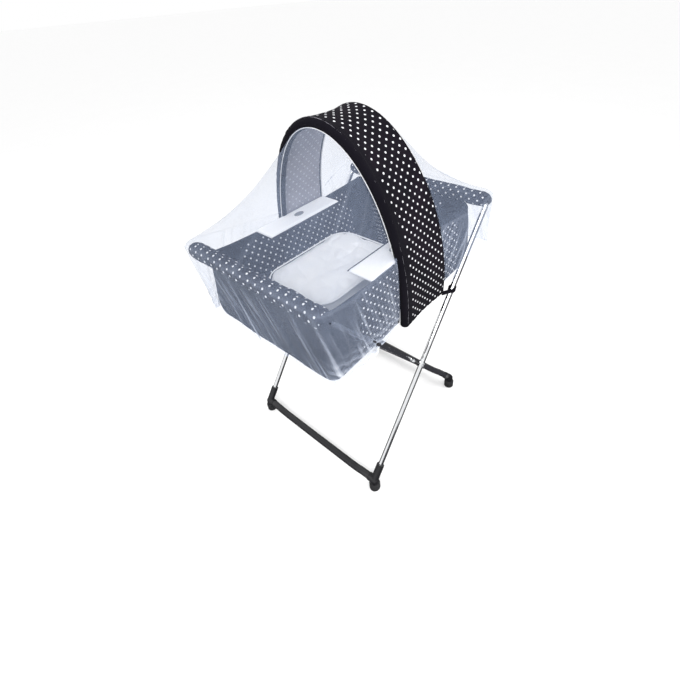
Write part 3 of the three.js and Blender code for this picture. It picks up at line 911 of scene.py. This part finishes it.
def drop_point(face, rim_point, d, run):
    """A point of a net's hanging part, a share d of the way down, and how gathered the net is there."""
    x, y, top = rim_point
    hem = hem_height(face, x, y)
    z = top + (hem - top) * d
    at_band = hood_edge(z, face) + face * NET_AHEAD[face]
    away = clamp(abs(x - at_band) / 0.055)
    away = away * away * (3 - 2 * away)
    on_side = clamp((abs(y) - RAIL_REACH[face] + 0.05) / 0.04)
    side_y = (arch_half(z) - 0.4 * NET_INSET[face]) * (1 - away) + leg_clearance(face, x, y, z) * away
    point = Vector((x, y + (math.copysign(side_y, y) - y) * on_side * (1 - 0.5 * away), z))
    if on_side > 0.9 and away < 1:
        point.x = x + (at_band - x) * (1 - away)
    outward = Vector((x - face * 0.2, y * 1.15, 0)).normalized()
    phase = run * 150 + 7 * d + 5 * noise.noise(Vector((run * 11, d * 0.8, face)))
    pleat = math.sin(phase) * 0.6 + math.sin(phase * 0.43 + 1.0) * 0.4
    at_rail = clamp((abs(x) - 0.29) / 0.05) if face == FRONT else 0.0
    point.x -= face * 0.026 * at_rail * d
    point += outward * (0.001 + 0.0045 * d) * (pleat + 0.6) * away
    ridge = max(0.0, pleat) ** 4
    loose = max(0.0, noise.noise(Vector((run * 6, 2.0, face)))) + 0.25
    streak = max(0.0, noise.noise(Vector((run * 130 + 9 * d, d * 1.2, 5.0 + face))) - 0.12)
    gather = 0.03 + ridge * loose * (0.3 + 0.9 * d) + 0.35 * max(0.0, d - 0.96) / 0.04
    gather += 0.9 * streak * (0.3 + 0.7 * d)
    if face == FRONT:
        bunch = on_side * away * max(0.0, d - 0.55) / 0.45
        folds = abs(math.sin(26 * d + 30 * run)) ** 3
        point += outward * 0.006 * bunch * folds
        gather += bunch * (0.12 + 0.5 * folds)
    return point, min(1.0, gather)


def tent_point(face, start, finish, v, run):
    """A point of a net between the band and the rim, a share v of the way, and how gathered it is there."""
    span = (finish - start).length
    between = 4 * v * (1 - v)
    point = start.lerp(finish, v)
    point.z -= TENT_SAG * (between * span)
    ruck = wrinkle((run * 16, v * 1.4, 0), 1, 0.008, 11.0 * face)
    ruck += wrinkle((run * 52, v * 2.2, 0), 1, 0.0025, 7.0 * face)
    point.z += ruck * between * min(1, span / 0.1)
    crease = max(0.0, noise.noise(Vector((run * 60, v * 1.5, 3.0 * face))) - 0.25)
    return point, 0.12 * crease + 0.12 * max(0, v - 0.95) / 0.05


def build_net(face, name, node):
    """A net in one sheet: a tent from the hood's edge out to the rim, and a gathered drop below the rim."""
    count = 401
    rim, rim_run = resample(net_rim(face), count)
    whole_arch, _ = arch(-NET_INSET[face], 801)
    edge, _ = resample(whole_arch[whole_arch[:, 1] > NET_SIDE_TOP], count)
    tent_rows, drop_rows = 40, 34
    points = np.zeros((tent_rows + drop_rows, count, 3))
    gather = np.zeros((tent_rows + drop_rows, count))
    for i in range(count):
        y, z = edge[i]
        start = Vector((hood_edge(z, face) + face * NET_AHEAD[face], y, z))
        finish = Vector(rim[i])
        for j in range(tent_rows):
            v = j / (tent_rows - 1)
            points[j, i], gather[j, i] = tent_point(face, start, finish, v, rim_run[i])
        for j in range(tent_rows, tent_rows + drop_rows):
            d = (j - tent_rows + 1) / drop_rows
            points[j, i], gather[j, i] = drop_point(face, rim[i], d, rim_run[i])
    along = np.broadcast_to(rim_run[None, :], gather.shape)
    down = np.zeros(gather.shape)
    down[1:] = np.cumsum(np.linalg.norm(np.diff(points, axis=0), axis=2), axis=0)
    net = grid_piece(name, points, [TULLE], np.stack([along, down], axis=2), gather=gather)
    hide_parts(node)
    on_hood(net)


# The stand keeps its CAD shapes

def finish_stand():
    """Gives each bare CAD piece its material: the first key found in its name decides."""
    looks = [
        ("rubber_foot", RUBBER),
        ("foot_elbow", BLACK),
        ("foot_bar", BLACK),
        ("washer", BLACK),
        ("_leg_", CHROME),
        ("corner", CHROME),
        ("rail", CHROME),
        ("bolt", STEEL),
        ("nut", STEEL),
        ("base_board", BOARD),
    ]
    for name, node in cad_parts.items():
        for key, material in looks:
            if key in name and "sleeve" not in name and "strap" not in name:
                node.data.materials.clear()
                node.data.materials.append(material)
                shade_by_angle(node)
                break
    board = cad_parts["base_board"]
    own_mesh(board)


def shade_by_angle(node, degrees=40):
    """Smooths round surfaces and keeps real edges sharp."""
    smooth_faces(node)
    node.data.set_sharp_from_angle(angle=math.radians(degrees))


# The studio

FLOOR_REACH = 40.0
LIGHT_AIM = (0, 0, 0.6)
SOFTBOXES = [((-1.6, -1.2, 2.4), 1.6, 52), ((1.2, -1.8, 1.6), 1.2, 22)]  # place, width, power


def build_studio():
    """A white floor that runs out to a white sky, and two soft lights on the right side."""
    around = ((-1, -1), (1, -1), (1, 1), (-1, 1))
    corners = [(FLOOR_REACH * x, FLOOR_REACH * y, 0) for x, y in around]
    floor = mesh_piece("floor", corners, [(0, 1, 2, 3)], [floor_paper()])
    world = bpy.data.worlds.new("studio")
    bpy.context.scene.world = world
    world.use_nodes = True
    sky = world.node_tree.nodes["Background"].inputs
    sky["Color"].default_value = (1, 1, 1, 1)
    sky["Strength"].default_value = 1.0
    for place, width, power in SOFTBOXES:
        light = bpy.data.lights.new("softbox", "AREA")
        light.size = width
        light.energy = power
        lamp = bpy.data.objects.new("softbox", light)
        bpy.context.scene.collection.objects.link(lamp)
        lamp.location = place
        lamp.rotation_euler = (Vector(LIGHT_AIM) - Vector(place)).to_track_quat("-Z", "Y").to_euler()
    bpy.context.scene.view_settings.view_transform = "Standard"


CAMERA_ANGLES = (41.52, 38.82, -3.9)  # azimuth, elevation and roll, in degrees
CAMERA_AIM = Vector((0.131, 0.058, 0.391))
CAMERA_DISTANCE = 1.44


def build_camera():
    """Looks down over the front right corner, a little tilted."""
    azimuth, elevation, roll = (math.radians(angle) for angle in CAMERA_ANGLES)
    back = Vector((
        -math.cos(azimuth) * math.cos(elevation),
        -math.sin(azimuth) * math.cos(elevation),
        math.sin(elevation),
    ))
    level = (-back).cross(Vector((0, 0, 1))).normalized()
    lift = level.cross(-back)
    right = level * math.cos(roll) + lift * math.sin(roll)
    up = lift * math.cos(roll) - level * math.sin(roll)
    camera_data = bpy.data.cameras.new("camera")
    camera_data.sensor_width = 36
    camera_data.lens = 20.8
    camera_data.shift_x = -0.041
    camera_data.shift_y = -0.060
    camera = bpy.data.objects.new("camera", camera_data)
    bpy.context.scene.collection.objects.link(camera)
    turned = Matrix((right, up, back)).transposed().to_4x4()
    turned.translation = CAMERA_AIM + back * CAMERA_DISTANCE
    camera.matrix_world = turned
    bpy.context.scene.camera = camera


build_camera()
build_studio()
build_basket()
build_roll(FRONT, "inner_frame", "front_rail_sleeve")
build_roll(BACK, "outer_frame", "back_rail_sleeve")
build_pad()
for side in (LEFT, RIGHT):
    build_flap(side)
    build_strap(side)
build_band()
build_net(FRONT, "front_net", "net_front")
build_net(BACK, "back_net", "net_back")
finish_stand()
